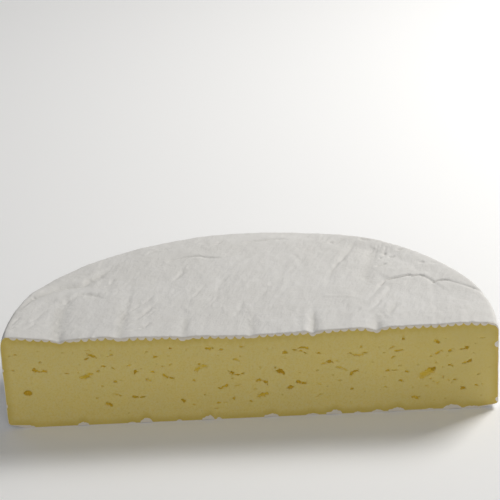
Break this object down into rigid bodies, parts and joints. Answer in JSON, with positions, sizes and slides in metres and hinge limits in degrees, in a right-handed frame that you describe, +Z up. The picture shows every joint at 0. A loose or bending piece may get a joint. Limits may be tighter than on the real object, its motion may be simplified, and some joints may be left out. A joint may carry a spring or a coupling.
{
  "type": "camembert cheese half wheel",
  "caption": "Half wheel of a large soft cheese with a bloomy white rind, its cut face showing pale yellow paste with small slit-like eyes.",
  "frame": {"origin": "middle of the half wheel's footprint box, on its base", "axes": "+X along the cut face, +Y away from the cut face towards the round rim, +Z up"},
  "size_m": [0.2502, 0.1246, 0.0517],
  "materials": {
    "paste": "matte, slightly moist pale yellow cheese paste, a little deeper in colour towards the rind and inside its eyes",
    "rind": "matt velvety white mould rind with fine wrinkles"
  },
  "bodies": {
    "root": {"camembert_half": "paste"}
  },
  "joints": []
}
